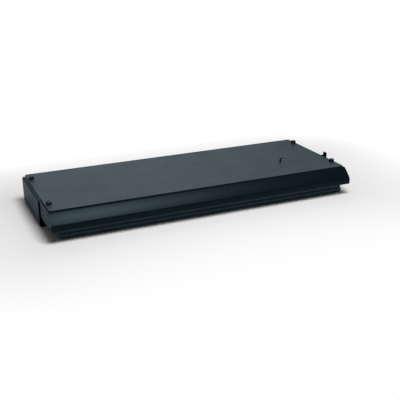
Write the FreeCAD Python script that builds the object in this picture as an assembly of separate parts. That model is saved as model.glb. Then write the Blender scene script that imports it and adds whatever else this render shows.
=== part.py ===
# Cover plate of a rack drawer: a flat steel plate screwed down over a bull-nosed sheet-metal hood.
# Millimetres. +X runs along the plate, +Y to its rear and +Z up.
# The origin is the middle of the footprint, on the surface that the hood stands on.
import FreeCAD
import Part
import math
import os

Vector = FreeCAD.Vector

# Cover plate, a flat sheet of 19-inch panel length
PLATE_LENGTH = 482.6
PLATE_DEPTH = 176.0
PLATE_SHEET = 2.5
PLATE_CORNER = 3.0

# Tie hook: a foot welded to the plate, a post folded up from it and an arm to the right
HOOK_FROM_RIGHT = 84.6
HOOK_FROM_FRONT = 59.0
HOOK_SHEET = 1.2
HOOK_BEND = 0.6
HOOK_FOOT = 5.0
HOOK_WIDTH = 2.2
HOOK_HEIGHT = 7.4
HOOK_ARM = 6.0
HOOK_ARM_DEPTH = 1.3

# Hood: its height is from the surface underneath to the plate's top, and it stands out past the plate's ends
HOOD_HEIGHT = 44.45
HOOD_SHEET = 1.5
END_LEDGE = 2.5

# Nose: a brow bend at the plate's edge, a crowned face, a chin bend, an upright lip and a sill turned under
NOSE_REACH = 17.0
NOSE_LIP = 4.4
BROW_ANGLE = 34.0
BROW_BEND = 1.8
CROWN_ANGLE = 18.0
CHIN_BEND = 3.5
SILL_BEND = 2.0

# Grip lip that turns down from the sill, and the bulb seal that is pushed on to it
GRIP_BEND = 1.5
GRIP_LIP = 4.5
GRIP_CLEAR = 0.6
SEAL_SETBACK = 2.0
SEAL_INSET_LEFT = 14.0
SEAL_INSET_RIGHT = 6.8
SEAL_LEG = 2.4
SEAL_SLOT_CLEAR = 0.05
SEAL_TOP_CLEAR = 0.2

# End caps
CAP_GAP = 1.0
CAP_SEAM = 1.7
CAP_BEND = 1.0
CAP_SETBACK = 4.0
CAP_FOOT = 15.0
CAP_FOOT_CLEAR = 1.0
TONGUE_LENGTH = 18.0
TONGUE_HEIGHT = 14.0

# Side brackets
BRACKET_FRONT = 56.0
BRACKET_SHEET = 2.0
BRACKET_BEND = 2.0
BEND_RELIEF = 1.0
FLANGE_MARGIN = 8.0
FLANGE_CLIP = 5.0

# Upright tab at the front of the right bracket, with a low ramp behind its post
TAB_LENGTH = 18.0
TAB_POST = 8.0
TAB_HEIGHT = 6.2
TAB_STEP = 1.2

# Rear panel
PANEL_BEND = 1.5
PANEL_FLANGE = 12.0
PANEL_GAP = 0.5
PANEL_END = 22.0
PANEL_END_MARGIN = 8.0

# Holes in the brackets' feet, for fixing the hood down
MOUNT_INSET = 13.25
MOUNT_END_INSET = 15.65
MOUNT_HOLE = 7.0
MOUNT_MARGIN = 10.0

# Socket-head M5 cover screws and the square weld nuts that they turn into
SCREW_END_INSET = 5.4
SCREW_EDGE_INSET = 26.5
SCREW_DIAMETER = 5.0
SCREW_LENGTH = 10.0
SCREW_HOLE = 5.5
HEAD_DIAMETER = 8.5
HEAD_HEIGHT = 5.0
HEAD_EASE = 0.6
SOCKET_FLATS = 4.0
SOCKET_DEPTH = 2.5
THREAD_CLEAR = 0.05
WELD_NUT_FLATS = 9.0
WELD_NUT_HEIGHT = 4.2

# Studs welded inside the brackets, and their hexagon nuts
STUD_DIAMETER = 4.0
STUD_HOLE = 4.4
STUD_SPARE = 1.2
NUT_FLATS = 7.0
NUT_HEIGHT = 3.2

# Blind rivets that hold the sill to the caps' feet
RIVET_DIAMETER = 3.2
RIVET_HEAD = 6.0
RIVET_HEAD_HEIGHT = 0.9
RIVET_BULGE = 4.6
RIVET_BULGE_HEIGHT = 1.6

# Section of the nose: angles, outside radii, and the crown that spans the reach between the bends
BROW = math.radians(BROW_ANGLE)
CHIN = math.radians(BROW_ANGLE + CROWN_ANGLE)
BROW_RADIUS = BROW_BEND + HOOD_SHEET
CHIN_RADIUS = CHIN_BEND + HOOD_SHEET
SILL_RADIUS = SILL_BEND + HOOD_SHEET
CROWN_REACH = NOSE_REACH - BROW_RADIUS * math.sin(BROW) - CHIN_RADIUS * (1 - math.sin(CHIN))
CROWN_RADIUS = CROWN_REACH / (math.sin(CHIN) - math.sin(BROW))
NOSE_DROP = (
    BROW_RADIUS * (1 - math.cos(BROW))
    + CROWN_RADIUS * (math.cos(BROW) - math.cos(CHIN))
    + CHIN_RADIUS * math.cos(CHIN)
)

# Places along X
PLATE_HALF = PLATE_LENGTH / 2
HOOD_HALF = PLATE_HALF + END_LEDGE
BRACKET_OUTER = HOOD_HALF + BRACKET_SHEET
SCREW_X = PLATE_HALF - SCREW_END_INSET
FLANGE_INNER = SCREW_X - FLANGE_MARGIN
SEAL_LEFT = SEAL_INSET_LEFT - HOOD_HALF
SEAL_RIGHT = HOOD_HALF - SEAL_INSET_RIGHT
MOUNT_X = BRACKET_OUTER - MOUNT_INSET
RIVET_X = HOOD_HALF - (CAP_FOOT + HOOD_SHEET) / 2
STUD_END = HOOD_HALF - HOOD_SHEET - NUT_HEIGHT - STUD_SPARE

# Places along Y
REAR = (NOSE_REACH + PLATE_DEPTH) / 2
FRONT = -REAR
PLATE_FRONT = FRONT + NOSE_REACH
SCREW_Y_NEAR = PLATE_FRONT + SCREW_EDGE_INSET
SCREW_Y_FAR = REAR - SCREW_EDGE_INSET
BRACKET_Y_NEAR = PLATE_FRONT + BRACKET_FRONT
FLANGE_Y_FAR = REAR - PANEL_FLANGE - PANEL_GAP
MOUNT_Y_NEAR = BRACKET_Y_NEAR + MOUNT_END_INSET
MOUNT_Y_FAR = FLANGE_Y_FAR - MOUNT_END_INSET
CAP_Y_FLANGE = PLATE_FRONT + CAP_SETBACK
CAP_Y_FAR = BRACKET_Y_NEAR - CAP_GAP
GRIP_MIDDLE = PLATE_FRONT + SEAL_SETBACK
GRIP_FACE = GRIP_MIDDLE - HOOD_SHEET / 2
SILL_END = GRIP_FACE - GRIP_BEND
FOOT_Y_NEAR = FRONT + SILL_RADIUS + CAP_FOOT_CLEAR
FOOT_Y_FAR = SILL_END - CAP_FOOT_CLEAR
RIVET_Y = (FOOT_Y_NEAR + FOOT_Y_FAR) / 2
TONGUE_STUD_Y = BRACKET_Y_NEAR + TONGUE_LENGTH / 2
PANEL_STUD_Y = REAR - (PANEL_END + PANEL_BEND + HOOD_SHEET) / 2

# Levels along Z
PLATE_UNDER = HOOD_HEIGHT - PLATE_SHEET
CAP_TOP = PLATE_UNDER - HOOD_SHEET
SILL = PLATE_UNDER - NOSE_DROP - NOSE_LIP - SILL_RADIUS
SILL_TOP = SILL + HOOD_SHEET
FOOT_TOP = SILL_TOP + HOOD_SHEET
GRIP_END = SILL - GRIP_BEND - GRIP_LIP
SEAL_BULB = GRIP_END - GRIP_CLEAR
PANEL_END_LOW = PANEL_END_MARGIN
PANEL_END_HIGH = PLATE_UNDER - PANEL_END_MARGIN
TONGUE_STUD_Z = SILL + TONGUE_HEIGHT / 2
PANEL_STUD_Z = PLATE_UNDER / 2

# Side-view places of the studs: through a cap's tongue and through an end of the rear panel
TONGUE_STUD = (TONGUE_STUD_Y, TONGUE_STUD_Z)
PANEL_STUD = (PANEL_STUD_Y, PANEL_STUD_Z)


def side_view(u, v):
    """A point of a section that runs along X, u to the rear and v up."""
    return Vector(0, u, v)


def front_view(u, v):
    """A point of a section that runs along Y, u to the right and v up."""
    return Vector(u, 0, v)


def plan_view(u, v):
    """A point of a section that runs along Z, u to the right and v to the rear."""
    return Vector(u, v, 0)


class Fold:
    """Section of a folded sheet, followed along its show face, with the material on the left.

    Runs are straight. A bend turns left when its angle is positive, round the back of the sheet, and its
    radius is the inside one. The back line lies at depth, which is the sheet's own thickness by default.
    """

    def __init__(self, start, heading, sheet, view, depth=None):
        self.u, self.v = start
        self.angle = math.radians(heading)
        self.sheet = sheet
        self.view = view
        self.depth = sheet if depth is None else depth
        self.show = []
        self.back = []
        self.show_start = self.at(0)
        self.back_start = self.at(self.depth)

    def at(self, depth):
        """The present place, moved to the left of the show face."""
        left = self.angle + math.pi / 2
        return self.view(self.u + depth * math.cos(left), self.v + depth * math.sin(left))

    def run(self, length):
        """Go straight on."""
        before = [self.at(0), self.at(self.depth)]
        self.u += length * math.cos(self.angle)
        self.v += length * math.sin(self.angle)
        self.show.append(Part.LineSegment(before[0], self.at(0)).toShape())
        self.back.append(Part.LineSegment(before[1], self.at(self.depth)).toShape())
        return self

    def bend(self, degrees, radius):
        """Turn on a tangent arc."""
        side = math.copysign(1, degrees)
        show_radius = radius + self.sheet if degrees > 0 else radius
        left = self.angle + math.pi / 2
        centre = (
            self.u + side * show_radius * math.cos(left),
            self.v + side * show_radius * math.sin(left),
        )
        turn = math.radians(degrees)

        def on_arc(part, arc_radius):
            way = left + turn * part
            reach = -side * arc_radius
            return centre[0] + reach * math.cos(way), centre[1] + reach * math.sin(way)

        for edges, depth in ((self.show, 0), (self.back, self.depth)):
            arc_radius = show_radius - side * depth
            points = [self.view(*on_arc(part, arc_radius)) for part in (0, 0.5, 1)]
            edges.append(Part.Arc(*points).toShape())
        self.u, self.v = on_arc(1, show_radius)
        self.angle += turn
        return self

    def extrude(self, start, end):
        """The sheet between its two faces, drawn out from one vector to another."""
        ends = [
            Part.LineSegment(self.show_start, self.back_start).toShape(),
            Part.LineSegment(self.at(0), self.at(self.depth)).toShape(),
        ]
        return drawn_out(self.show + self.back + ends, start, end)


def drawn_out(edges, start, end):
    """A prism on a closed outline, drawn out from one vector to another."""
    outline = Part.Wire(Part.__sortEdges__(edges))
    return Part.Face(outline).extrude(end - start).translated(start)


def box(low, high):
    """A block between two corners."""
    size = [top - bottom for bottom, top in zip(low, high)]
    return Part.makeBox(*size, Vector(*low))


def rod(diameter, start, end):
    """A round bar from one point to another."""
    along = end - start
    return Part.makeCylinder(diameter / 2, along.Length, start, along)


def upright_hole(diameter, x, y, low, high):
    """A round cutter through a level sheet, with room to spare at both faces."""
    return rod(diameter, Vector(x, y, low - diameter), Vector(x, y, high + diameter))


def stud_bar(diameter, place):
    """A round bar at a place of the side view, from inside the left bracket's wall to its stud's end."""
    root = (HOOD_HALF + BRACKET_OUTER) / 2
    return rod(diameter, Vector(-root, *place), Vector(-STUD_END, *place))


def lines(*points):
    """Straight edges through points of a side view."""
    places = [side_view(*point) for point in points]
    return [Part.LineSegment(a, b).toShape() for a, b in zip(places, places[1:])]


def spun(points):
    """A solid turned about Z from a half outline of radius and height."""
    outline = Part.makePolygon([Vector(radius, 0, height) for radius, height in points + points[:1]])
    return Part.Face(outline).revolve(Vector(0, 0, 0), Vector(0, 0, 1), 360)


def hexagon(flats, height):
    """A hexagonal bar that stands on the origin."""
    reach = flats / math.sqrt(3)
    corners = [math.radians(60 * side) for side in range(7)]
    outline = Part.makePolygon([Vector(reach * math.cos(a), reach * math.sin(a), 0) for a in corners])
    return Part.Face(outline).extrude(Vector(0, 0, height))


def mirrored(shape):
    """The same shape at the other end of the hood."""
    return shape.mirror(Vector(0, 0, 0), Vector(1, 0, 0))


def screw_places():
    """The four cover screws: X, Y, and the underside of the flange that holds each nut."""
    near = (SCREW_Y_NEAR, CAP_TOP - HOOD_SHEET)
    far = (SCREW_Y_FAR, PLATE_UNDER - BRACKET_SHEET)
    return [(x, *row) for row in (near, far) for x in (-SCREW_X, SCREW_X)]


def tie_hook():
    """The small hook that stands on the plate."""
    left = PLATE_HALF - HOOK_FROM_RIGHT
    front = PLATE_FRONT + HOOK_FROM_FRONT
    top = HOOD_HEIGHT + HOOK_HEIGHT
    outside = HOOK_BEND + HOOK_SHEET
    fold = Fold((front + HOOK_FOOT, HOOD_HEIGHT + HOOK_SHEET), 180, HOOK_SHEET, side_view)
    fold.run(HOOK_FOOT - outside)
    fold.bend(-90, HOOK_BEND)
    fold.run(HOOK_HEIGHT - outside)
    post = fold.extrude(Vector(left, 0, 0), Vector(left + HOOK_WIDTH, 0, 0))
    arm = box((left, front, top - HOOK_ARM_DEPTH), (left + HOOK_ARM, front + HOOK_SHEET, top))
    return post.fuse(arm)


def cover_plate():
    """The flat cover with rounded corners, screw holes and its tie hook."""
    plate = box((-PLATE_HALF, PLATE_FRONT, PLATE_UNDER), (PLATE_HALF, REAR, HOOD_HEIGHT))
    uprights = [edge for edge in plate.Edges if edge.BoundBox.ZLength > PLATE_SHEET / 2]
    plate = plate.makeFillet(PLATE_CORNER, uprights)
    holes = [
        upright_hole(SCREW_HOLE, x, y, PLATE_UNDER, HOOD_HEIGHT) for x, y, _ in screw_places()
    ]
    return plate.cut(holes).fuse(tie_hook()).removeSplitter()


def nose_fold(depth=None):
    """Section of the nose from its flange under the plate to the end of its sill."""
    fold = Fold((CAP_Y_FAR, PLATE_UNDER), 180, HOOD_SHEET, side_view, depth)
    fold.run(CAP_Y_FAR - PLATE_FRONT)
    fold.bend(BROW_ANGLE, BROW_BEND)
    fold.bend(CROWN_ANGLE, CROWN_RADIUS - HOOD_SHEET)
    fold.bend(90 - BROW_ANGLE - CROWN_ANGLE, CHIN_BEND)
    fold.run(NOSE_LIP)
    fold.bend(90, SILL_BEND)
    return fold.run(SILL_END - FRONT - SILL_RADIUS)


def nose_shell():
    """The bull nose in one fold, ending in the grip lip, which stops short of both ends."""
    fold = nose_fold()
    fold.bend(-90, GRIP_BEND)
    fold.run(GRIP_LIP)
    shell = fold.extrude(Vector(-HOOD_HALF, 0, 0), Vector(HOOD_HALF, 0, 0))
    cuts = []
    for start, end in ((-BRACKET_OUTER, SEAL_LEFT), (SEAL_RIGHT, BRACKET_OUTER)):
        cuts.append(box((start, SILL_END, 0), (end, CAP_Y_FLANGE, SILL_TOP + HOOD_SHEET)))
    for x in (-SCREW_X, SCREW_X):
        cuts.append(upright_hole(SCREW_HOLE, x, SCREW_Y_NEAR, CAP_TOP, PLATE_UNDER))
    for x in (-RIVET_X, RIVET_X):
        cuts.append(upright_hole(RIVET_DIAMETER, x, RIVET_Y, SILL, SILL_TOP))
    return shell.cut(cuts)


def cap_wall():
    """Upright wall of the left cap: it follows the inside of the nose and ends in a tongue."""
    contour = nose_fold(HOOD_SHEET + CAP_SEAM)
    over_sill = SILL_TOP + CAP_SEAM
    behind_sill = SILL_END + CAP_SEAM
    closing = lines(
        (SILL_END, over_sill),
        (behind_sill, over_sill),
        (behind_sill, SILL),
        (CAP_Y_FAR, SILL),
        (CAP_Y_FAR, CAP_TOP - CAP_SEAM),
    )
    outer_face = Vector(-HOOD_HALF, 0, 0)
    wall = drawn_out(contour.back + closing, outer_face, outer_face + Vector(HOOD_SHEET, 0, 0))
    tongue = box(
        (-HOOD_HALF, CAP_Y_FAR - HOOD_SHEET, SILL),
        (-HOOD_HALF + HOOD_SHEET, BRACKET_Y_NEAR + TONGUE_LENGTH, SILL + TONGUE_HEIGHT),
    )
    return wall.fuse(tongue)


def cap_flange():
    """Top flange of the left cap, which carries the near screw's nut."""
    outside = CAP_BEND + HOOD_SHEET
    fold = Fold((-FLANGE_INNER, CAP_TOP), 180, HOOD_SHEET, front_view)
    fold.run(HOOD_HALF - outside - FLANGE_INNER)
    fold.bend(90, CAP_BEND)
    fold.run(outside)
    return fold.extrude(Vector(0, CAP_Y_FLANGE, 0), Vector(0, CAP_Y_FAR, 0))


def cap_foot():
    """Foot of the left cap, riveted to the sill."""
    outside = CAP_BEND + HOOD_SHEET
    fold = Fold((-HOOD_HALF, SILL_TOP + 2 * outside), 270, HOOD_SHEET, front_view)
    fold.run(outside)
    fold.bend(90, CAP_BEND)
    fold.run(CAP_FOOT - outside)
    return fold.extrude(Vector(0, FOOT_Y_NEAR, 0), Vector(0, FOOT_Y_FAR, 0))


def left_end_cap():
    """The left cap: wall, flange and foot folded from one sheet."""
    outside = CAP_BEND + HOOD_SHEET
    above_wall = box(
        (-HOOD_HALF - outside, CAP_Y_FLANGE, CAP_TOP - outside),
        (-HOOD_HALF + outside, CAP_Y_FAR + outside, HOOD_HEIGHT),
    )
    under_wall = box(
        (-HOOD_HALF - outside, FOOT_Y_NEAR, SILL),
        (-HOOD_HALF + outside, FOOT_Y_FAR, SILL_TOP + outside),
    )
    wall = cap_wall().cut([above_wall, under_wall])
    cap = wall.fuse([cap_flange(), cap_foot()]).removeSplitter()
    return cap.cut([
        stud_bar(STUD_HOLE, TONGUE_STUD),
        upright_hole(SCREW_HOLE, -SCREW_X, SCREW_Y_NEAR, CAP_TOP - HOOD_SHEET, CAP_TOP),
        upright_hole(RIVET_DIAMETER, -RIVET_X, RIVET_Y, SILL_TOP, FOOT_TOP),
    ])


def bracket_channel(flange_start):
    """Channel of the left bracket: a flange under the plate, a wall and a foot, with clipped inner corners.

    The wall and its bends run on behind the flange and the foot, past the end of the rear panel.
    """
    outside = BRACKET_BEND + BRACKET_SHEET
    fold = Fold((-FLANGE_INNER, PLATE_UNDER), 180, BRACKET_SHEET, front_view)
    fold.run(BRACKET_OUTER - outside - FLANGE_INNER)
    fold.bend(90, BRACKET_BEND)
    fold.run(PLATE_UNDER - 2 * outside)
    fold.bend(90, BRACKET_BEND)
    fold.run(MOUNT_INSET + MOUNT_MARGIN - outside)
    channel = fold.extrude(Vector(0, BRACKET_Y_NEAR, 0), Vector(0, REAR, 0))
    before_flange = box(
        (-BRACKET_OUTER - outside, BRACKET_Y_NEAR - outside, PLATE_UNDER - outside),
        (0, flange_start, HOOD_HEIGHT),
    )
    behind_flats = box(
        (-BRACKET_OUTER + outside, FLANGE_Y_FAR, -outside),
        (0, REAR + outside, HOOD_HEIGHT),
    )
    channel = channel.cut([before_flange, behind_flats])
    inner_corners = [
        edge
        for edge in channel.Edges
        if edge.BoundBox.YLength < BRACKET_SHEET / 2 and edge.BoundBox.XLength < BRACKET_SHEET / 2
        and edge.BoundBox.XMin > -BRACKET_OUTER + outside + BRACKET_SHEET
    ]
    return channel.makeChamfer(FLANGE_CLIP, inner_corners)


def upright_tab():
    """The tab that the bracket's wall sends up past the plate, drawn at the left end."""
    root = PLATE_UNDER - BRACKET_BEND - BRACKET_SHEET
    top = HOOD_HEIGHT + TAB_HEIGHT
    behind_post = BRACKET_Y_NEAR + TAB_POST
    ramp_end = BRACKET_Y_NEAR + TAB_LENGTH
    outline = lines(
        (BRACKET_Y_NEAR, root),
        (BRACKET_Y_NEAR, top),
        (behind_post, top),
        (behind_post, HOOD_HEIGHT + TAB_STEP),
        (ramp_end, PLATE_UNDER),
        (ramp_end, root),
        (BRACKET_Y_NEAR, root),
    )
    return drawn_out(outline, Vector(-BRACKET_OUTER, 0, 0), Vector(-HOOD_HALF, 0, 0))


def finished_bracket(sheet):
    """A left bracket's bare sheet with its studs welded on and its holes made."""
    studs = [stud_bar(STUD_DIAMETER, place) for place in (TONGUE_STUD, PANEL_STUD)]
    holes = [upright_hole(MOUNT_HOLE, -MOUNT_X, y, 0, BRACKET_SHEET) for y in (MOUNT_Y_NEAR, MOUNT_Y_FAR)]
    holes.append(upright_hole(SCREW_HOLE, -SCREW_X, SCREW_Y_FAR, PLATE_UNDER - BRACKET_SHEET, PLATE_UNDER))
    return sheet.fuse(studs).removeSplitter().cut(holes)


def left_side_bracket():
    """The left bracket, with its flange along the whole channel."""
    return finished_bracket(bracket_channel(BRACKET_Y_NEAR))


def right_side_bracket():
    """The right bracket, whose flange makes room for the upright tab."""
    flange_start = BRACKET_Y_NEAR + TAB_LENGTH + BEND_RELIEF
    return mirrored(finished_bracket(bracket_channel(flange_start).fuse(upright_tab())))


def panel_channel():
    """Wall of the rear panel with its long flanges, clear of the brackets' bends and opened for its ends."""
    outside = PANEL_BEND + HOOD_SHEET
    half = BRACKET_OUTER - BRACKET_SHEET - BRACKET_BEND - PANEL_GAP
    fold = Fold((REAR - PANEL_FLANGE, 0), 0, HOOD_SHEET, side_view)
    fold.run(PANEL_FLANGE - outside)
    fold.bend(90, PANEL_BEND)
    fold.run(PLATE_UNDER - 2 * outside)
    fold.bend(90, PANEL_BEND)
    fold.run(PANEL_FLANGE - outside)
    channel = fold.extrude(Vector(-half, 0, 0), Vector(half, 0, 0))
    opening = box(
        (HOOD_HALF - outside, REAR - outside, PANEL_END_LOW - BEND_RELIEF),
        (HOOD_HALF + outside, REAR + outside, PANEL_END_HIGH + BEND_RELIEF),
    )
    return channel.cut([opening, mirrored(opening)])


def panel_ends():
    """The end flanges, with the band of the wall that runs between them."""
    outside = PANEL_BEND + HOOD_SHEET
    fold = Fold((HOOD_HALF, REAR - PANEL_END), 90, HOOD_SHEET, plan_view)
    fold.run(PANEL_END - outside)
    fold.bend(90, PANEL_BEND)
    fold.run(2 * (HOOD_HALF - outside))
    fold.bend(90, PANEL_BEND)
    fold.run(PANEL_END - outside)
    return fold.extrude(Vector(0, 0, PANEL_END_LOW), Vector(0, 0, PANEL_END_HIGH))


def rear_panel():
    """The pan that closes the rear, with flanges under the plate, along its foot and against the brackets."""
    hole = stud_bar(STUD_HOLE, PANEL_STUD)
    return panel_channel().fuse(panel_ends()).removeSplitter().cut([hole, mirrored(hole)])


def bulb_seal():
    """Rubber seal, cut square at its ends: a slotted grip above a round bulb."""
    radius = SEAL_BULB / 2
    bulb = rod(SEAL_BULB, Vector(SEAL_LEFT, GRIP_MIDDLE, radius), Vector(SEAL_RIGHT, GRIP_MIDDLE, radius))
    slot_half = HOOD_SHEET / 2 + SEAL_SLOT_CLEAR
    grip_half = slot_half + SEAL_LEG
    grip = box(
        (SEAL_LEFT, GRIP_MIDDLE - grip_half, radius),
        (SEAL_RIGHT, GRIP_MIDDLE + grip_half, SILL - GRIP_BEND - SEAL_TOP_CLEAR),
    )
    slot = box(
        (-HOOD_HALF, GRIP_MIDDLE - slot_half, GRIP_END - SEAL_SLOT_CLEAR),
        (HOOD_HALF, GRIP_MIDDLE + slot_half, SILL),
    )
    return bulb.fuse(grip).cut(slot).removeSplitter()


def cover_screws():
    """Socket-head screws that hold the plate down at its corners."""
    radius = SCREW_DIAMETER / 2
    head = HEAD_DIAMETER / 2
    screw = spun([
        (0, -SCREW_LENGTH),
        (radius, -SCREW_LENGTH),
        (radius, 0),
        (head, 0),
        (head, HEAD_HEIGHT - HEAD_EASE),
        (head - HEAD_EASE, HEAD_HEIGHT),
        (0, HEAD_HEIGHT),
    ])
    socket = hexagon(SOCKET_FLATS, HEAD_HEIGHT)
    socket.translate(Vector(0, 0, HEAD_HEIGHT - SOCKET_DEPTH))
    screw = screw.cut(socket)
    return Part.makeCompound([
        screw.translated(Vector(x, y, HOOD_HEIGHT)) for x, y, _ in screw_places()
    ])


def weld_nuts():
    """Square nuts welded under the flanges that the plate is screwed to."""
    half = WELD_NUT_FLATS / 2
    bore = rod(SCREW_DIAMETER + 2 * THREAD_CLEAR, Vector(0, 0, -WELD_NUT_HEIGHT), Vector(0, 0, 0))
    nut = box((-half, -half, -WELD_NUT_HEIGHT), (half, half, 0)).cut(bore)
    return Part.makeCompound([nut.translated(Vector(*place)) for place in screw_places()])


def stud_nuts():
    """Hexagon nuts on the studs, against the inside of the caps and the rear panel."""
    bore = rod(STUD_DIAMETER + 2 * THREAD_CLEAR, Vector(0, 0, 0), Vector(0, 0, NUT_HEIGHT))
    nut = hexagon(NUT_FLATS, NUT_HEIGHT).cut(bore).rotated(Vector(0, 0, 0), Vector(0, 1, 0), 90)
    seat = HOOD_SHEET - HOOD_HALF
    left = [nut.translated(Vector(seat, *place)) for place in (TONGUE_STUD, PANEL_STUD)]
    return Part.makeCompound(left + [mirrored(nut) for nut in left])


def nose_rivets():
    """Blind rivets from below through the sill into the caps' feet."""
    grip = FOOT_TOP - SILL
    rivet = spun([
        (0, -RIVET_HEAD_HEIGHT),
        (RIVET_HEAD / 2, -RIVET_HEAD_HEIGHT),
        (RIVET_HEAD / 2, 0),
        (RIVET_DIAMETER / 2, 0),
        (RIVET_DIAMETER / 2, grip),
        (RIVET_BULGE / 2, grip),
        (RIVET_BULGE / 2, grip + RIVET_BULGE_HEIGHT),
        (0, grip + RIVET_BULGE_HEIGHT),
    ])
    return Part.makeCompound([rivet.translated(Vector(x, RIVET_Y, SILL)) for x in (-RIVET_X, RIVET_X)])


def main():
    """Build every piece and write each to a file of its own."""
    left_cap = left_end_cap()
    pieces = {
        "cover_plate": cover_plate(),
        "nose_shell": nose_shell(),
        "left_end_cap": left_cap,
        "right_end_cap": mirrored(left_cap),
        "left_side_bracket": left_side_bracket(),
        "right_side_bracket": right_side_bracket(),
        "rear_panel": rear_panel(),
        "bulb_seal": bulb_seal(),
        "cover_screws": cover_screws(),
        "weld_nuts": weld_nuts(),
        "stud_nuts": stud_nuts(),
        "nose_rivets": nose_rivets(),
    }
    os.makedirs("parts", exist_ok=True)
    for name, piece in pieces.items():
        piece.exportStep("parts/" + name + ".step")


main()
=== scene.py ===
"""Looks of a rack drawer cover plate: coated sheets, rubber seal, screws, nuts, rivets and a plain studio.

Everything is in metres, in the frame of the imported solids: +X along the plate, +Y to its rear, +Z up.
"""
from __future__ import annotations

import logging
import math
from collections.abc import Iterable
from dataclasses import dataclass, field, replace
from enum import Enum

import bmesh
import bpy
from mathutils import Matrix, Vector


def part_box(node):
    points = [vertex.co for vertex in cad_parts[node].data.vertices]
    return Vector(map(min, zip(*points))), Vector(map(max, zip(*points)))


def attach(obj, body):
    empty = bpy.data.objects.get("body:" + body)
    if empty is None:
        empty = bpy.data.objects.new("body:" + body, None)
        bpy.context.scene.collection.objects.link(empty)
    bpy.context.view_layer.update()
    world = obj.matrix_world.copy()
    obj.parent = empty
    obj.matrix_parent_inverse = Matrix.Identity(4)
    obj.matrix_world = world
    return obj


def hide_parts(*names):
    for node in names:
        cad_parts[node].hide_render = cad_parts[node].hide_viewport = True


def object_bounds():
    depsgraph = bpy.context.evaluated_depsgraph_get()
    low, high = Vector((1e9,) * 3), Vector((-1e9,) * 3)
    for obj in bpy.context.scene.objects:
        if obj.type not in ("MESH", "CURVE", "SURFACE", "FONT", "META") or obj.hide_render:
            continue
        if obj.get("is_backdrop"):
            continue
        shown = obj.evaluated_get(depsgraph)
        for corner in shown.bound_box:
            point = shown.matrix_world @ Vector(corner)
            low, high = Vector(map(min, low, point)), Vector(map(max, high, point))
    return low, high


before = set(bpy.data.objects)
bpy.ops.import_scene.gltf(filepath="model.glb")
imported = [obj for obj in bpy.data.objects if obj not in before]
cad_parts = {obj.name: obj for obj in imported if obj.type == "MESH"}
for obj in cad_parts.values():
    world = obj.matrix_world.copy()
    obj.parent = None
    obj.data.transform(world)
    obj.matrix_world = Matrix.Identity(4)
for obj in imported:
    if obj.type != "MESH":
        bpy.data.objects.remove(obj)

Colour = tuple[float, float, float]
Point = tuple[float, float]
Place = tuple[float, float, float]
Span = tuple[float, float]

LOG = logging.getLogger("cover_plate")
BODY = "root"
MM = 0.001
MERGE = 0.001 * MM
EDGE_LAYER = "edge"
NORMAL_WEIGHT = 100
HEX_SIDES = 6
ORIGIN: Place = (0.0, 0.0, 0.0)
UP: Place = (0.0, 0.0, 1.0)
WHITE: Colour = (1.0, 1.0, 1.0)
RISING: Span = (0.0, 1.0)
FALLING: Span = (1.0, 0.0)
# The cover plate gets the coat with a strong film of dust and painted sheen; the nose and rear panel get
# only a faint one.
FULL_SHEEN_SHEETS = ("cover_plate",)
FAINT_SHEEN_SHEETS = ("nose_shell", "rear_panel")
SIDE_SHEETS = ("left_end_cap", "right_end_cap", "left_side_bracket", "right_side_bracket")


class Slot(Enum):
    """Material slots that the record names."""

    POWDER_COAT = "powder_coat"
    SEAL_RUBBER = "seal_rubber"
    BLACK_SCREW = "black_screw"
    ZINC_STEEL = "zinc_steel"


def rgba(colour: Colour) -> tuple[float, float, float, float]:
    """Add full opacity to a colour."""
    return (*colour, 1.0)


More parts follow.
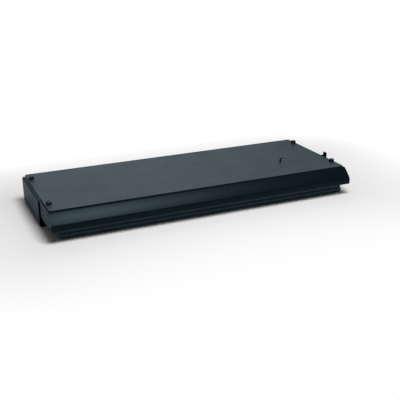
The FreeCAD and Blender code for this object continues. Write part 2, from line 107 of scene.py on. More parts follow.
class Graph:
    """A node tree with a short way to add nodes and wire them."""

    def __init__(self, tree: bpy.types.NodeTree) -> None:
        """Keep the tree that nodes are added to."""
        self.tree = tree

    def add(self, kind: str, inputs: dict | None = None, **settings: object) -> bpy.types.Node:
        """Add a node.

        Args:
            kind: Blender's name of the node type.
            inputs: value or source socket for each input, by the input's name or number.
            settings: properties of the node itself.

        Returns:
            The new node.
        """
        node = self.tree.nodes.new(kind)
        for name, value in settings.items():
            setattr(node, name, value)
        for name, value in (inputs or {}).items():
            self.feed(node.inputs[name], value)
        return node

    def feed(self, socket: bpy.types.NodeSocket, value: object) -> None:
        """Link another socket to this one, or set its value.

        Args:
            socket: the input to feed.
            value: a socket to link from, or a plain value.
        """
        if isinstance(value, bpy.types.NodeSocket):
            self.tree.links.new(value, socket)
        else:
            socket.default_value = value

    def group(self, tree: bpy.types.NodeTree, inputs: dict) -> bpy.types.bpy_prop_collection:
        """Place a shared group with inputs of its own and return its outputs."""
        return self.add("ShaderNodeGroup", inputs, node_tree=tree).outputs

    def math(self, operation: str, first: object, second: object) -> bpy.types.NodeSocket:
        """Add a Math node and return its result."""
        return self.add("ShaderNodeMath", {0: first, 1: second}, operation=operation).outputs[0]

    def vector(self, operation: str, first: object, second: object = ORIGIN) -> bpy.types.NodeSocket:
        """Add a Vector Math node and return the vector that it makes."""
        return self.add("ShaderNodeVectorMath", {0: first, 1: second}, operation=operation).outputs[0]

    def noise(self, vector: bpy.types.NodeSocket, scale: object, detail: float) -> bpy.types.NodeSocket:
        """Add a noise texture and return its value."""
        inputs = {"Vector": vector, "Scale": scale, "Detail": detail}
        return self.add("ShaderNodeTexNoise", inputs).outputs[0]

    def ramp(self, value: bpy.types.NodeSocket, span: Span, results: Span = RISING) -> bpy.types.NodeSocket:
        """Map a span of a value to a span of results, held at both ends.

        Args:
            value: the socket to map.
            span: the value where the mapping starts and where it ends.
            results: the result at the start and at the end.

        Returns:
            The mapped value's socket.
        """
        inputs = {0: value, 1: span[0], 2: span[1], 3: results[0], 4: results[1]}
        return self.add("ShaderNodeMapRange", inputs).outputs[0]

    def mix(self, factor: object, first: object, second: object) -> bpy.types.NodeSocket:
        """Add a colour mix.

        Args:
            factor: share of the second colour.
            first: colour at 0.
            second: colour at 1.

        Returns:
            The mixed colour's socket.
        """
        node = self.add("ShaderNodeMix", data_type="RGBA")
        sockets = {socket.name: socket for socket in node.inputs if socket.enabled}
        for name, value in (("Factor", factor), ("A", first), ("B", second)):
            self.feed(sockets[name], value)
        return next(socket for socket in node.outputs if socket.enabled)


def shader_group(
    name: str, inputs: dict[str, float], outputs: Iterable[str]
) -> tuple[Graph, bpy.types.bpy_prop_collection, bpy.types.bpy_prop_collection]:
    """Start a shader node group whose first input is the place on the piece.

    Args:
        name: the group's name.
        inputs: number inputs and their usual values.
        outputs: names of the values that it puts out.

    Returns:
        The group's graph, the sockets that bring its inputs and the sockets that take its outputs.
    """
    tree = bpy.data.node_groups.new(name, "ShaderNodeTree")
    tree.interface.new_socket("Place", in_out="INPUT", socket_type="NodeSocketVector")
    for label, value in inputs.items():
        socket = tree.interface.new_socket(label, in_out="INPUT", socket_type="NodeSocketFloat")
        socket.default_value = value
    for label in outputs:
        tree.interface.new_socket(label, in_out="OUTPUT", socket_type="NodeSocketFloat")
    graph = Graph(tree)
    return graph, graph.add("NodeGroupInput").outputs, graph.add("NodeGroupOutput").inputs


@dataclass(frozen=True)
class CoatTexture:
    """Shader group for a sprayed or plated skin: its fine relief and its uneven tone."""

    peel: float = 420.0
    grain: float = 2600.0
    cloud: float = 16.0
    peel_detail: float = 2.0
    grain_detail: float = 1.0
    cloud_detail: float = 4.0
    peel_share: float = 0.65
    grain_share: float = 0.35
    cloud_span: Span = (0.3, 0.7)

    def tree(self) -> bpy.types.NodeTree:
        """Make the group.

        Returns:
            The group, which puts out Height and Tone, both from 0 to 1.
        """
        inputs = {"Peel": self.peel, "Grain": self.grain, "Cloud": self.cloud}
        graph, source, result = shader_group("coat_texture", inputs, ("Height", "Tone"))
        peel = graph.noise(source["Place"], source["Peel"], self.peel_detail)
        grain = graph.noise(source["Place"], source["Grain"], self.grain_detail)
        cloud = graph.noise(source["Place"], source["Cloud"], self.cloud_detail)
        peel = graph.math("MULTIPLY", peel, self.peel_share)
        grain = graph.math("MULTIPLY", grain, self.grain_share)
        graph.feed(result["Height"], graph.math("ADD", peel, grain))
        graph.feed(result["Tone"], graph.ramp(cloud, self.cloud_span))
        return graph.tree


@dataclass(frozen=True)
class EdgeWear:
    """Shader group for rubbed edges, broken up along their length."""

    patch: float = 90.0
    amount: float = 0.5
    patch_detail: float = 5.0
    patch_span: Span = (0.42, 0.62)
    rubbed_share: Span = (0.25, 1.0)

    def tree(self) -> bpy.types.NodeTree:
        """Make the group.

        Returns:
            The group, which puts out Wear: up to Amount on the rounded edges, and 0 elsewhere.
        """
        inputs = {"Patch": self.patch, "Amount": self.amount}
        graph, source, result = shader_group("edge_wear", inputs, ("Wear",))
        edge = graph.add("ShaderNodeAttribute", attribute_name=EDGE_LAYER).outputs["Fac"]
        patch = graph.noise(source["Place"], source["Patch"], self.patch_detail)
        rubbed = graph.math("MULTIPLY", edge, graph.ramp(patch, self.patch_span, self.rubbed_share))
        graph.feed(result["Wear"], graph.math("MULTIPLY", rubbed, source["Amount"]))
        return graph.tree


@dataclass(frozen=True)
class DustAndPaintedSheen:
    """Shader group for a film and dust specks on faces that look up; where its amount is high the film is
    painted sheen, a cool lightening that stands in for the reflection of level faces.
    """

    amount: float = 0.1
    speck: float = 900.0
    film: float = 22.0
    speck_detail: float = 2.0
    film_detail: float = 5.0
    speck_span: Span = (0.66, 0.74)
    film_span: Span = (0.35, 0.7)
    film_share: Span = (0.4, 0.6)
    level_span: Span = (0.8, 0.98)

    def tree(self) -> bpy.types.NodeTree:
        """Make the group.

        Returns:
            The group, which puts out its one value: dust and painted sheen, up to Amount on level faces, and
                0 on steep ones.
        """
        inputs = {"Amount": self.amount, "Speck": self.speck}
        graph, source, result = shader_group("dust_and_painted_sheen", inputs, ("DustAndSheen",))
        normal = graph.add("ShaderNodeNewGeometry").outputs["Normal"]
        up = graph.add("ShaderNodeSeparateXYZ", {0: normal}).outputs["Z"]
        # Painted sheen: the film lightens level faces in soft patches, standing in for their reflection; the
        # specks below are real dust.
        film = graph.noise(source["Place"], self.film, self.film_detail)
        film = graph.ramp(film, self.film_span, self.film_share)
        speck = graph.noise(source["Place"], source["Speck"], self.speck_detail)
        speck = graph.ramp(speck, self.speck_span)
        dust_and_sheen_mask = graph.math("MAXIMUM", film, speck)
        dust_and_sheen_mask = graph.math("MULTIPLY", dust_and_sheen_mask, graph.ramp(up, self.level_span))
        graph.feed(result["DustAndSheen"], graph.math("MULTIPLY", dust_and_sheen_mask, source["Amount"]))
        return graph.tree


@dataclass
class Effects:
    """The shader groups that the finishes share, each made once."""

    coat: bpy.types.NodeTree = field(default_factory=CoatTexture().tree)
    wear: bpy.types.NodeTree = field(default_factory=EdgeWear().tree)
    dust_and_sheen: bpy.types.NodeTree = field(default_factory=DustAndPaintedSheen().tree)


@dataclass(frozen=True)
class Finish:
    """A surface finish, in linear colour.

    The colour drifts in soft clouds to a second one, rubbed edges show the worn colour, and a film of dust
    and painted sheen lies over them all.
    """

    name: str
    slot: Slot
    colour: Colour
    cloud_colour: Colour
    worn_colour: Colour
    roughness: Span
    metallic: float = 0.0
    specular: float = 0.5
    specular_colour: Colour = WHITE
    peel: float = CoatTexture.peel
    grain: float = CoatTexture.grain
    stretch: Place = (1.0, 1.0, 1.0)
    relief: float = 0.15
    relief_depth: float = 0.08 * MM
    wear: float = 0.5
    dust_and_sheen: float = 0.05
    dust_and_sheen_colour: Colour = (0.30, 0.29, 0.27)
    dust_and_sheen_roughness: float = 0.3

    def material(self, effects: Effects) -> bpy.types.Material:
        """Make the finish's material.

        Args:
            effects: the shader groups to place in it.

        Returns:
            The material, wired from Object coordinates to one Principled shader.
        """
        material = bpy.data.materials.new(f"{self.name}_finish")
        material.use_nodes = True
        graph = Graph(material.node_tree)
        shader = material.node_tree.nodes["Principled BSDF"]
        place = graph.add("ShaderNodeTexCoord").outputs["Object"]
        along = graph.add("ShaderNodeMapping", {"Vector": place, "Scale": self.stretch}).outputs[0]
        coat = graph.group(effects.coat, {"Place": along, "Peel": self.peel, "Grain": self.grain})
        wear = graph.group(effects.wear, {"Place": place, "Amount": self.wear})["Wear"]
        dust_and_sheen = graph.group(effects.dust_and_sheen, {"Place": place, "Amount": self.dust_and_sheen})["DustAndSheen"]
        base = graph.mix(coat["Tone"], rgba(self.colour), rgba(self.cloud_colour))
        base = graph.mix(wear, base, rgba(self.worn_colour))
        # Painted sheen: the film lightens level faces toward its colour, partly dust and partly standing in
        # for their reflection.
        base = graph.mix(dust_and_sheen, base, rgba(self.dust_and_sheen_colour))
        rough = graph.ramp(coat["Tone"], RISING, self.roughness)
        rough = graph.math("ADD", rough, graph.math("MULTIPLY", dust_and_sheen, self.dust_and_sheen_roughness))
        bump = {"Strength": self.relief, "Distance": self.relief_depth, "Height": coat["Height"]}
        shader.inputs["Metallic"].default_value = self.metallic
        shader.inputs["Specular IOR Level"].default_value = self.specular
        shader.inputs["Specular Tint"].default_value = rgba(self.specular_colour)
        graph.feed(shader.inputs["Base Color"], base)
        graph.feed(shader.inputs["Roughness"], rough)
        graph.feed(shader.inputs["Normal"], graph.add("ShaderNodeBump", bump).outputs[0])
        return material


POWDER_COAT = Finish(
    name="powder_coat",
    slot=Slot.POWDER_COAT,
    colour=(0.0014, 0.0040, 0.0052),
    cloud_colour=(0.0020, 0.0050, 0.0064),
    worn_colour=(0.016, 0.021, 0.023),
    roughness=(0.34, 0.40),
    specular=0.11,
    specular_colour=(0.60, 0.90, 1.0),
    relief=0.5,
    wear=0.15,
    # A strong cool film of dust and painted sheen: it lightens the plate's level top in place of the
    # reflection that it shows at a low view.
    dust_and_sheen=0.35,
    dust_and_sheen_colour=(0.20, 0.25, 0.28),
)
# Nose and rear panel: only a faint film of dust and painted sheen, so their level bends stay dark.
FAINT_SHEEN_COAT = replace(POWDER_COAT, name="faint_sheen_coat", dust_and_sheen=0.04)
SIDE_COAT = replace(POWDER_COAT, name="side_coat", specular=0.04)
SEAL_RUBBER = Finish(
    name="seal_rubber",
    slot=Slot.SEAL_RUBBER,
    colour=(0.0100, 0.0290, 0.0350),
    cloud_colour=(0.0140, 0.0360, 0.0430),
    worn_colour=(0.030, 0.040, 0.044),
    roughness=(0.50, 0.62),
    specular=0.35,
    peel=900.0,
    stretch=(0.02, 1.0, 1.0),
    relief=0.25,
    dust_and_sheen=0.06,
)
BLACK_SCREW = Finish(
    name="black_screw",
    slot=Slot.BLACK_SCREW,
    colour=(0.005, 0.008, 0.010),
    cloud_colour=(0.008, 0.012, 0.014),
    worn_colour=(0.05, 0.05, 0.05),
    roughness=(0.30, 0.40),
    specular=0.3,
    wear=0.35,
    # The cool film on the heads' level tops is dust and painted sheen: it lightens them like a highlight.
    dust_and_sheen=0.30,
    dust_and_sheen_colour=POWDER_COAT.dust_and_sheen_colour,
)
ZINC_STEEL = Finish(
    name="zinc_steel",
    slot=Slot.ZINC_STEEL,
    colour=(0.50, 0.51, 0.52),
    cloud_colour=(0.60, 0.60, 0.57),
    worn_colour=(0.70, 0.70, 0.70),
    roughness=(0.26, 0.38),
    metallic=1.0,
    wear=0.6,
    dust_and_sheen=0.02,
)


def only(kind: type, geometry: Iterable) -> list:
    """Pick the vertices, or the edges, out of mixed geometry."""
    return [item for item in geometry if isinstance(item, kind)]


def polyline(mesh: bmesh.types.BMesh, outline: Iterable[Point]) -> list:
    """Draw an open outline beside the Z axis.

    Args:
        mesh: the mesh to add to.
        outline: radius and height of each point.

    Returns:
        The outline's vertices and edges.
    """
    verts = [mesh.verts.new((radius, 0.0, height)) for radius, height in outline]
    return verts + [mesh.edges.new(pair) for pair in zip(verts, verts[1:])]


def lathe(mesh: bmesh.types.BMesh, outline: Iterable[Point], steps: int) -> None:
    """Turn an outline once round the Z axis.

    Args:
        mesh: the mesh to add to.
        outline: radius and height of each point.
        steps: faces round the axis.
    """
    geometry = polyline(mesh, outline)
    bmesh.ops.spin(
        mesh, geom=geometry, cent=ORIGIN, axis=UP, angle=math.tau, steps=steps, use_merge=True
    )
    bmesh.ops.remove_doubles(mesh, verts=mesh.verts, dist=MERGE)


def hexagon_reach(flats: float) -> float:
    """Distance from a hexagon's middle to its corners."""
    return flats / math.sqrt(3.0)


def hexagon(mesh: bmesh.types.BMesh, flats: float, height: float, steps: int) -> list[bmesh.types.BMEdge]:
    """Draw a hexagon about the Z axis.

    Args:
        mesh: the mesh to add to.
        flats: width across the flats.
        height: level of the outline.
        steps: edges all round, a multiple of six.

    Returns:
        The outline's edges.
    """
    level = Matrix.Translation((0.0, 0.0, height))
    bmesh.ops.create_circle(mesh, segments=HEX_SIDES, radius=hexagon_reach(flats), matrix=level)
    sides = [edge for edge in mesh.edges if edge.is_wire]
    bmesh.ops.subdivide_edges(mesh, edges=sides, cuts=steps // HEX_SIDES - 1)
    return [edge for edge in mesh.edges if edge.is_wire]


def rim(mesh: bmesh.types.BMesh, low: float, high: float) -> list[bmesh.types.BMEdge]:
    """List the open edges that lie between two heights."""
    open_edges = [edge for edge in mesh.edges if edge.is_boundary]
    return [edge for edge in open_edges if all(low <= vert.co.z <= high for vert in edge.verts)]


def drawn(mesh: bmesh.types.BMesh, edges: list[bmesh.types.BMEdge], rise: float) -> list:
    """Draw an open rim up or down.

    Args:
        mesh: the mesh that holds the rim.
        edges: the rim's edges.
        rise: how far up it is drawn.

    Returns:
        The vertices and edges of the new rim.
    """
    made = bmesh.ops.extrude_edge_only(mesh, edges=edges)["geom"]
    verts = only(bmesh.types.BMVert, made)
    bmesh.ops.translate(mesh, vec=(0.0, 0.0, rise), verts=verts)
    moved = set(verts)
    return verts + [edge for edge in only(bmesh.types.BMEdge, made) if moved.issuperset(edge.verts)]


def round_edges(mesh: bmesh.types.BMesh, edges: list[bmesh.types.BMEdge], radius: float) -> None:
    """Round sharp edges and mark the faces that the rounding makes.

    Args:
        mesh: the mesh that holds the edges.
        edges: the edges to round.
        radius: the most that the rounding reaches from each edge; the mesh's shortest edges can hold all of
            it to less.
    """
    layer = mesh.faces.layers.float.get(EDGE_LAYER) or mesh.faces.layers.float.new(EDGE_LAYER)
    made = bmesh.ops.bevel(
        mesh,
        geom=edges,
        offset=radius,
        offset_type="OFFSET",
        affect="EDGES",
        segments=2,
        profile=0.5,
        material=-1,
        clamp_overlap=True,
        loop_slide=True,
    )
    for face in made["faces"]:
        face[layer] = 1.0


def sharp_edges(mesh: bmesh.types.BMesh, angle: float) -> list[bmesh.types.BMEdge]:
    """List the closed edges that turn by more than an angle."""
    return [edge for edge in mesh.edges if edge.is_manifold and edge.calc_face_angle() > angle]


def put_in_order(mesh: bmesh.types.BMesh) -> None:
    """Sort a finished mesh by place, since some operators leave it in a new order on each run.

    Args:
        mesh: the mesh to sort.
    """
    ranks = {vert: rank for rank, vert in enumerate(sorted(mesh.verts, key=lambda vert: tuple(vert.co)))}
    mesh.verts.sort(key=ranks.get)
    mesh.verts.index_update()
    for items in (mesh.edges, mesh.faces):
        ordered = sorted(items, key=lambda item: sorted(vert.index for vert in item.verts))
        ranks = {item: rank for rank, item in enumerate(ordered)}
        items.sort(key=ranks.get)


def repeated(pattern: bmesh.types.BMesh, places: Iterable[Matrix]) -> bmesh.types.BMesh:
    """Set copies of one shape at several places.

    Args:
        pattern: the shape at the origin; it is freed here.
        places: where each copy goes.

    Returns:
        A mesh that holds the copies.
    """
    data = bpy.data.meshes.new("pattern")
    put_in_order(pattern)
    pattern.to_mesh(data)
    pattern.free()
    whole = bmesh.new()
    for place in places:
        before = len(whole.verts)
        whole.from_mesh(data)
        bmesh.ops.transform(whole, matrix=place, verts=whole.verts[before:])
    bpy.data.meshes.remove(data)
    return whole


def new_piece(
    name: str, mesh: bmesh.types.BMesh, node: str, paint: bpy.types.Material
) -> bpy.types.Object:
    """Turn a finished bmesh into a piece that stands for a solid.

    Args:
        name: the piece's name.
        mesh: its mesh, in place; it is freed here.
        node: the solid that it stands for.
        paint: its material.

    Returns:
        The piece, riding on the part's one body.
    """
    data = bpy.data.meshes.new(name)
    for face in mesh.faces:
        face.smooth = True
    mesh.to_mesh(data)
    mesh.free()
    data.materials.append(paint)
    piece = bpy.data.objects.new(name, data)
    bpy.context.scene.collection.objects.link(piece)
    even = piece.modifiers.new("even_normals", "WEIGHTED_NORMAL")
    even.keep_sharp = True
    even.weight = NORMAL_WEIGHT
    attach(piece, BODY)
    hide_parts(node)
    LOG.info("piece %s: %d faces", name, len(data.polygons))
    return piece


@dataclass
class FoldedSheets:
    """The solids that keep their own form and get eased edges, as far as their shortest edges leave room."""

    nodes: tuple[str, ...]
    finish: Finish
    suffix: str
    edge_radius: float = 0.35 * MM
    sharp: float = math.radians(30.0)
    flat: float = math.radians(0.5)

    def build(self, paint: bpy.types.Material) -> list[bpy.types.Object]:
        """Dress every node of the set.

        Args:
            paint: the finish's material.

        Returns:
            One piece for each node.
        """
        return [
            new_piece(f"{node}_{self.suffix}", self.rounded(node), node, paint)
            for node in self.nodes
        ]

    def rounded(self, node: str) -> bmesh.types.BMesh:
        """Copy a solid's mesh, join its triangles into faces and round its sharp edges.

        Args:
            node: the solid's name.

        Returns:
            The new mesh.
        """
        mesh = bmesh.new()
        mesh.from_mesh(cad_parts[node].data)
        bmesh.ops.remove_doubles(mesh, verts=mesh.verts, dist=MERGE)
        bmesh.ops.dissolve_limit(mesh, angle_limit=self.flat, verts=mesh.verts, edges=mesh.edges)
        round_edges(mesh, sharp_edges(mesh, self.sharp), self.edge_radius)
        return mesh


@dataclass(frozen=True)
class Thread:
    """A rolled outside thread on the Z axis, wound past both of its ends and then cut off level."""

    diameter: float
    pitch: float
    steps: int = 24
    depth_share: float = 0.61
    crest_share: float = 0.125
    flank: float = math.radians(30.0)
    turns_below: int = 2
    turns_above: int = 1

    def wind(self, mesh: bmesh.types.BMesh, low: float, high: float) -> None:
        """Wind the thread and cut it off.

        Args:
            mesh: an empty mesh to wind it in.
            low: level of the lower end.
            high: level of the upper end.
        """
        start = low - self.turns_below * self.pitch
        turns = math.ceil((high - start) / self.pitch) + self.turns_above
        bmesh.ops.spin(
            mesh,
            geom=polyline(mesh, [(radius, start + rise) for radius, rise in self.outline()]),
            cent=ORIGIN,
            axis=UP,
            dvec=(0.0, 0.0, self.pitch / self.steps),
            angle=math.tau * turns,
            steps=self.steps * turns,
        )
        bmesh.ops.remove_doubles(mesh, verts=mesh.verts, dist=MERGE)
        for level, way in ((low, -1.0), (high, 1.0)):
            bmesh.ops.bisect_plane(
                mesh,
                geom=mesh.verts[:] + mesh.edges[:] + mesh.faces[:],
                dist=MERGE,
                plane_co=(0.0, 0.0, level),
                plane_no=(0.0, 0.0, way),
                clear_outer=True,
            )

    def outline(self) -> list[Point]:
        """Outline of one turn: up the lower flank, over the crest, down the upper flank and along the root.

        Returns:
            Radius and rise of each point.
        """
        crest = self.diameter / 2
        root = crest - self.depth_share * self.pitch
        slope = self.depth_share * self.pitch * math.tan(self.flank)
        land = self.crest_share * self.pitch
        return [
            (root, 0.0),
            (crest, slope),
            (crest, slope + land),
            (root, 2 * slope + land),
            (root, self.pitch),
        ]


@dataclass
class CoverScrews:
    """Socket-head screws: a knurled head, a hexagon socket and a threaded shank with a chamfered tip."""

    node: str = "cover_screws"
    finish: Finish = BLACK_SCREW
    thread: Thread = Thread(5.0 * MM, 0.8 * MM)
    length: float = 10.0 * MM
    head: float = 8.5 * MM
    head_height: float = 5.0 * MM
    head_ease: float = 0.6 * MM
    knurl: Span = (0.9 * MM, 4.0 * MM)
    knurl_runout: float = 0.25 * MM
    knurl_share: float = 0.955
    neck: float = 0.6 * MM
    tip: float = 0.6 * MM
    tip_share: float = 0.78
    socket: float = 4.0 * MM
    socket_depth: float = 2.5 * MM
    socket_mouth: float = 0.25 * MM
    drill_point: float = 0.5 * MM
    edge_radius: float = 0.14 * MM
    sharp: float = math.radians(35.0)
    steps: int = 96
    turned_degrees: tuple[float, ...] = (8.0, 41.0, 23.0, 52.0)

    def build(self, paint: bpy.types.Material) -> bpy.types.Object:
        """Make the four screws where the solids are.

        Args:
            paint: the finish's material.

        Returns:
            One piece that holds all four.
        """
        low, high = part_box(self.node)
        seat = low.z + self.length
        inset = self.head / 2
        columns = (low.x + inset, high.x - inset)
        rows = (low.y + inset, high.y - inset)
        spots = [Matrix.Translation((x, y, seat)) for y in rows for x in columns]
        turns = [Matrix.Rotation(math.radians(angle), 4, "Z") for angle in self.turned_degrees]
        mesh = repeated(self.screw(), [spot @ turn for spot, turn in zip(spots, turns)])
        return new_piece("cover_screws_blackened", mesh, self.node, paint)

    def screw(self) -> bmesh.types.BMesh:
        """Make one screw with its seat on the origin.

        Returns:
            The screw's closed mesh.
        """
        mesh = bmesh.new()
        tip_level = self.tip - self.length
        self.thread.wind(mesh, tip_level, -self.neck)
        tip_rim = drawn(mesh, rim(mesh, -self.length, tip_level + MERGE), -self.tip)
        tip = only(bmesh.types.BMVert, tip_rim)
        bmesh.ops.scale(mesh, vec=(self.tip_share, self.tip_share, 1.0), verts=tip)
        mesh.faces.new(sorted(tip, key=lambda vert: math.atan2(vert.co.y, vert.co.x)))
        lathe(mesh, self.head_outline(), self.steps)
        bmesh.ops.bridge_loops(mesh, edges=rim(mesh, -self.neck - MERGE, MERGE))
        self.cut_socket(mesh)
        bmesh.ops.recalc_face_normals(mesh, faces=mesh.faces)
        on_head = [
            edge
            for edge in sharp_edges(mesh, self.sharp)
            if all(vert.co.z > -MERGE and vert.co.xy.length > MERGE for vert in edge.verts)
        ]
        round_edges(mesh, on_head, self.edge_radius)
        self.roll_knurl(mesh)
        return mesh

    def head_outline(self) -> list[Point]:
        """Outline of the head, from the shank out, up the side and in to the socket's mouth.

        Returns:
            Radius and height of each point.
        """
        reach = self.head / 2
        low, high = self.knurl
        side = (0.0, low - self.knurl_runout, low, high, high + self.knurl_runout)
        return [
            (self.thread.diameter / 2, 0.0),
            *((reach, level) for level in side),
            (reach, self.head_height - self.head_ease),
            (reach - self.head_ease, self.head_height),
            (hexagon_reach(self.socket) + self.socket_mouth, self.head_height),
        ]

    def cut_socket(self, mesh: bmesh.types.BMesh) -> None:
        """Sink the hexagon socket into the open top of the head.

        Args:
            mesh: the screw's mesh.
        """
        around = rim(mesh, self.head_height - MERGE, self.head_height + MERGE)
        level = self.head_height - self.socket_mouth
        mouth = hexagon(mesh, self.socket, level, self.steps)
        bmesh.ops.bridge_loops(mesh, edges=around + mouth)
        wall = drawn(mesh, rim(mesh, level - MERGE, level + MERGE), self.socket_mouth - self.socket_depth)
        point = drawn(mesh, only(bmesh.types.BMEdge, wall), -self.drill_point)
        bottom = (0.0, 0.0, self.head_height - self.socket_depth - self.drill_point)
        bmesh.ops.pointmerge(mesh, verts=only(bmesh.types.BMVert, point), merge_co=bottom)

    def roll_knurl(self, mesh: bmesh.types.BMesh) -> None:
        """Press every other line of the head's side in, between the two levels of the knurl.

        Args:
            mesh: the screw's mesh.
        """
        low, high = self.knurl
        pitch = math.tau / self.steps
        grooves = [
            vert
            for vert in mesh.verts
            if low - MERGE < vert.co.z < high + MERGE
            and vert.co.xy.length > self.head / 2 - MERGE
            and round(math.atan2(vert.co.y, vert.co.x) / pitch) % 2
        ]
        bmesh.ops.scale(mesh, vec=(self.knurl_share, self.knurl_share, 1.0), verts=grooves)
        for edge in {edge for vert in grooves for face in vert.link_faces for edge in face.edges}:
            edge.smooth = False


@dataclass
class StudNuts:
    """Hexagon nuts on the brackets' studs, chamfered on both faces."""

    node: str = "stud_nuts"
    finish: Finish = ZINC_STEEL
    flats: float = 7.0 * MM
    height: float = 3.2 * MM
    bore: float = 4.1 * MM
    bore_chamfer: float = 0.3 * MM
    face_share: float = 0.95
    corner_slope: float = math.tan(math.radians(30.0))
    steps: int = 48

    def build(self, paint: bpy.types.Material) -> bpy.types.Object:
        """Make the four nuts where the solids are, each with its foot on the sheet.

        Args:
            paint: the finish's material.

        Returns:
            One piece that holds all four.
        """
        low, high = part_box(self.node)
        corner = hexagon_reach(self.flats)
        near = (low.y + self.flats / 2, high.z - corner)
        far = (high.y - self.flats / 2, low.z + corner)
        places = []
        for x, turn in ((low.x, math.pi / 2), (high.x, -math.pi / 2)):
            for y, z in (near, far):
                places.append(Matrix.Translation((x, y, z)) @ Matrix.Rotation(turn, 4, "Y"))
        mesh = repeated(self.nut(), places)
        return new_piece("stud_nuts_plated", mesh, self.node, paint)

    def nut(self) -> bmesh.types.BMesh:
        """Make one nut with its foot on the origin.

        Returns:
            The nut's closed mesh.
        """
        mesh = bmesh.new()
        face = self.face_share * self.flats / 2
        bore = self.bore / 2
        mouth = bore + self.bore_chamfer
        lower = ((face, 0.0), (mouth, 0.0), (bore, self.bore_chamfer))
        upper = [(radius, self.height - level) for radius, level in reversed(lower)]
        lathe(mesh, [*lower, *upper], self.steps)
        foot = hexagon(mesh, self.flats, 0.0, self.steps)
        upper_rim = only(bmesh.types.BMVert, drawn(mesh, foot, self.height))
        lower_rim = {vert for edge in foot for vert in edge.verts}
        for verts, way in ((upper_rim, -1.0), (lower_rim, 1.0)):
            for vert in verts:
                ease = way * (vert.co.xy.length - face) * self.corner_slope
                bmesh.ops.translate(mesh, vec=(0.0, 0.0, ease), verts=[vert])
        middle = self.height / 2
        for low, high in ((-middle, middle), (middle, self.height + middle)):
            bmesh.ops.bridge_loops(mesh, edges=rim(mesh, low, high))
        bmesh.ops.recalc_face_normals(mesh, faces=mesh.faces)
        return mesh


@dataclass
class NoseRivets:
    """Blind rivets: a domed head with its spent mandrel under the sill, and a swollen end above."""

    node: str = "nose_rivets"
    finish: Finish = ZINC_STEEL
    shank: float = 3.2 * MM
    head: float = 6.0 * MM
    head_height: float = 0.9 * MM
    head_edge: float = 0.2 * MM
    mandrel: float = 1.8 * MM
    mandrel_depth: float = 0.4 * MM
    bulge: float = 4.6 * MM
    bulge_height: float = 1.6 * MM
    bulge_start: float = math.radians(-45.0)
    steps: int = 48
    arc_steps: int = 8

    def build(self, paint: bpy.types.Material) -> bpy.types.Object:
        """Make the rivets where the solids are.

        Args:
            paint: the finish's material.

        Returns:
            One piece that holds both.
        """
        low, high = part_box(self.node)
        sill = low.z + self.head_height
        grip = high.z - self.bulge_height - sill
        middle = (low.y + high.y) / 2
        mesh = bmesh.new()
        lathe(mesh, self.outline(grip), self.steps)
        bmesh.ops.recalc_face_normals(mesh, faces=mesh.faces)
        columns = (low.x + self.head / 2, high.x - self.head / 2)
        mesh = repeated(mesh, [Matrix.Translation((x, middle, sill)) for x in columns])
        return new_piece("nose_rivets_plated", mesh, self.node, paint)

    def outline(self, grip: float) -> list[Point]:
        """Half outline of a rivet whose head seats on the origin.

        Args:
            grip: thickness of the sheets that it holds.

        Returns:
            Radius and height of each point, from the mandrel up to the swollen end.
        """
        hole = self.mandrel / 2
        flat = self.head / 2 - hole
        rise = self.head_height - self.head_edge
        sunk = self.mandrel_depth - self.head_height
        points = [(0.0, sunk), (hole, sunk)]
        for step in range(self.arc_steps + 1):
            angle = math.pi / 2 * (1.0 - step / self.arc_steps)
            points.append((hole + flat * math.cos(angle), -self.head_edge - rise * math.sin(angle)))
        points += [(self.head / 2, 0.0), (self.shank / 2, 0.0), (self.shank / 2, grip)]
        belly = self.bulge_height / (1.0 - math.sin(self.bulge_start))
        for step in range(self.arc_steps + 1):
            angle = self.bulge_start + (math.pi / 2 - self.bulge_start) * step / self.arc_steps
            height = grip + belly * (math.sin(angle) - math.sin(self.bulge_start))
            points.append((self.bulge / 2 * max(math.cos(angle), 0.0), height))
        return points


@dataclass(frozen=True)
class Camera:
    """The viewpoint: place, heading to the right of +Y, tilt below the level and roll."""

    place: Place = (-0.41786, -1.00891, 0.40277)
    heading: float = math.radians(23.485)
    tilt: float = math.radians(20.443)
    roll: float = math.radians(-0.576)
    lens: float = 64.547
    sensor: float = 36.0
    nearest: float = 0.01

    def build(self) -> None:
        """Make the scene's camera."""
        data = bpy.data.cameras.new("photo_camera")
        data.lens = self.lens
        data.sensor_width = self.sensor
        data.clip_start = self.nearest
        camera = bpy.data.objects.new("photo_camera", data)
        turn = Matrix.Rotation(-self.heading, 4, "Z")
        turn @= Matrix.Rotation(math.pi / 2 - self.tilt, 4, "X")
        turn @= Matrix.Rotation(self.roll, 4, "Z")
        camera.matrix_world = Matrix.Translation(self.place) @ turn
        bpy.context.scene.collection.objects.link(camera)
        bpy.context.scene.camera = camera


@dataclass(frozen=True)
class Softbox:
    """A rectangular lamp that faces a point."""

    name: str
    place: Place
    target: Place
    size: Point
    power: float

    def build(self) -> None:
        """Hang the lamp."""
        data = bpy.data.lights.new(self.name, "AREA")
        data.shape = "RECTANGLE"
        data.size, data.size_y = self.size
        data.energy = self.power
        lamp = bpy.data.objects.new(self.name, data)
        way = Vector(self.target) - Vector(self.place)
        turn = way.to_track_quat("-Z", "Y").to_matrix().to_4x4()
        lamp.matrix_world = Matrix.Translation(self.place) @ turn
        bpy.context.scene.collection.objects.link(lamp)


OVERHEAD = Softbox(
    name="softbox_overhead",
    place=(0.06, -0.48, 1.18),
    target=(-0.08, -0.05, 0.0),
    size=(0.60, 0.60),
    power=15.5,
)


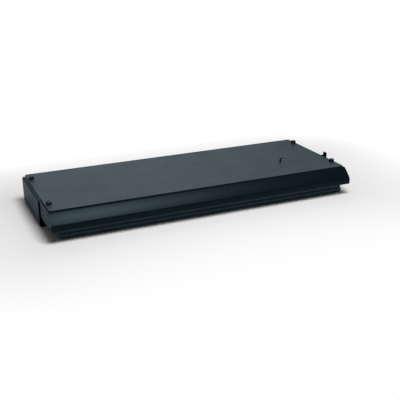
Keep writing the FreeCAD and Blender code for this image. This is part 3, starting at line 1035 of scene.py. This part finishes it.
@dataclass
class Studio:
    """Pale floor, white surroundings and a soft lamp.

    The spans of the sweep and the backdrop are components of a direction, from -1 to 1.
    """

    floor_radius: float = 9.0
    floor_sides: int = 96
    floor_colour: Colour = (0.80, 0.80, 0.80)
    floor_roughness: float = 0.9
    floor_specular: float = 0.1
    floor_blend: Span = (0.02, 0.20)
    white_light: float = 1.0
    sweep_light: float = 1.0
    sweep_height: Span = (0.55, 0.90)
    sweep_left: Span = (-0.35, 0.0)
    sweep_right: Span = (0.34, 0.58)
    sweep_depth: Span = (0.0, 0.5)
    right_share: float = 0.05
    backdrop_height: Span = (0.05, 0.20)
    room_light: float = 0.12
    mirrored_colour: Colour = (0.72, 0.90, 1.0)
    camera: Camera = Camera()
    softbox: Softbox = OVERHEAD

    def build(self) -> None:
        """Set the stage."""
        bpy.context.scene.view_settings.view_transform = "Standard"
        self.build_floor()
        self.build_world()
        self.softbox.build()
        self.camera.build()

    def build_floor(self) -> None:
        """Lay the floor."""
        mesh = bmesh.new()
        bmesh.ops.create_circle(mesh, cap_ends=True, radius=self.floor_radius, segments=self.floor_sides)
        data = bpy.data.meshes.new("studio_floor")
        mesh.to_mesh(data)
        mesh.free()
        data.materials.append(self.floor_paint())
        floor = bpy.data.objects.new("studio_floor", data)
        bpy.context.scene.collection.objects.link(floor)
        floor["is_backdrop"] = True

    def floor_paint(self) -> bpy.types.Material:
        """Make the floor's paint, which goes over to plain white away from the part.

        Returns:
            The floor's material.
        """
        material = bpy.data.materials.new("floor_paint")
        material.use_nodes = True
        graph = Graph(material.node_tree)
        shader = material.node_tree.nodes["Principled BSDF"]
        shader.inputs["Roughness"].default_value = self.floor_roughness
        shader.inputs["Specular IOR Level"].default_value = self.floor_specular
        _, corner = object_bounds()
        place = graph.add("ShaderNodeTexCoord").outputs["Object"]
        past = graph.vector("SUBTRACT", graph.vector("ABSOLUTE", place), tuple(corner))
        past = graph.vector("MAXIMUM", past, ORIGIN)
        reach = graph.add("ShaderNodeVectorMath", {0: past}, operation="LENGTH").outputs["Value"]
        away = graph.ramp(reach, self.floor_blend)
        tint = self.tint(graph)
        graph.feed(shader.inputs["Base Color"], graph.vector("MULTIPLY", tint, self.floor_colour))
        white = graph.add("ShaderNodeEmission", {"Color": tint, "Strength": self.white_light}).outputs[0]
        factor = graph.math("MULTIPLY", away, self.seen_ray(graph))
        blend = graph.add("ShaderNodeMixShader", {0: factor, 1: shader.outputs[0], 2: white}).outputs[0]
        graph.feed(material.node_tree.nodes["Material Output"].inputs["Surface"], blend)
        return material

    def seen_ray(self, graph: Graph) -> bpy.types.NodeSocket:
        """Tell rays from the camera and from mirror-like or clear surfaces from rays that only light.

        Args:
            graph: the graph to add the test to.

        Returns:
            A socket that is 1 on the rays that show the stage.
        """
        ray = graph.add("ShaderNodeLightPath").outputs
        seen = graph.math("MAXIMUM", ray["Is Camera Ray"], ray["Is Glossy Ray"])
        return graph.math("MAXIMUM", seen, ray["Is Transmission Ray"])

    def tint(self, graph: Graph) -> bpy.types.NodeSocket:
        """Colour the stage white, and a little cool where a surface mirrors it.

        Args:
            graph: the graph to add the choice to.

        Returns:
            The colour's socket.
        """
        glossy = graph.add("ShaderNodeLightPath").outputs["Is Glossy Ray"]
        return graph.mix(glossy, rgba(WHITE), rgba(self.mirrored_colour))

    def build_world(self) -> None:
        """Surround the stage: a low white backdrop, a bright sweep behind the part and a dim room."""
        world = bpy.data.worlds.new("studio_world")
        world.use_nodes = True
        bpy.context.scene.world = world
        graph = Graph(world.node_tree)
        surface = world.node_tree.nodes["Background"]
        direction = graph.add("ShaderNodeTexCoord").outputs["Generated"]
        way = graph.add("ShaderNodeSeparateXYZ", {0: direction}).outputs
        low = graph.ramp(way["Z"], self.sweep_height, FALLING)
        behind = graph.ramp(way["Y"], self.sweep_depth)
        left = graph.ramp(way["X"], self.sweep_left)
        right = graph.ramp(way["X"], self.sweep_right, (1.0, self.right_share))
        across = graph.math("MULTIPLY", left, right)
        lit = graph.math("MULTIPLY", graph.math("MULTIPLY", low, behind), across)
        sweep = graph.ramp(lit, RISING, (self.room_light, self.sweep_light))
        band = graph.ramp(way["Z"], self.backdrop_height, FALLING)
        backdrop = graph.math("MULTIPLY", band, self.seen_ray(graph))
        camera_ray = graph.add("ShaderNodeLightPath").outputs["Is Camera Ray"]
        white = graph.math("MAXIMUM", backdrop, camera_ray)
        graph.feed(surface.inputs["Strength"], graph.math("MAXIMUM", sweep, white))
        graph.feed(surface.inputs["Color"], self.tint(graph))


def main() -> None:
    """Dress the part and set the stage."""
    logging.basicConfig(level=logging.INFO, format="%(message)s")
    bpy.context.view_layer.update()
    effects = Effects()
    finishes = (POWDER_COAT, FAINT_SHEEN_COAT, SIDE_COAT, SEAL_RUBBER, BLACK_SCREW, ZINC_STEEL)
    paints = {finish.name: finish.material(effects) for finish in finishes}
    assemblies = (
        FoldedSheets(FULL_SHEEN_SHEETS, POWDER_COAT, "coated"),
        FoldedSheets(FAINT_SHEEN_SHEETS, FAINT_SHEEN_COAT, "coated"),
        FoldedSheets(SIDE_SHEETS, SIDE_COAT, "coated"),
        FoldedSheets(("bulb_seal",), SEAL_RUBBER, "rubber", edge_radius=0.6 * MM),
        CoverScrews(),
        FoldedSheets(("weld_nuts",), ZINC_STEEL, "plated", edge_radius=0.3 * MM),
        StudNuts(),
        NoseRivets(),
    )
    for assembly in assemblies:
        assembly.build(paints[assembly.finish.name])
    Studio().build()


if __name__ == "__main__":
    main()
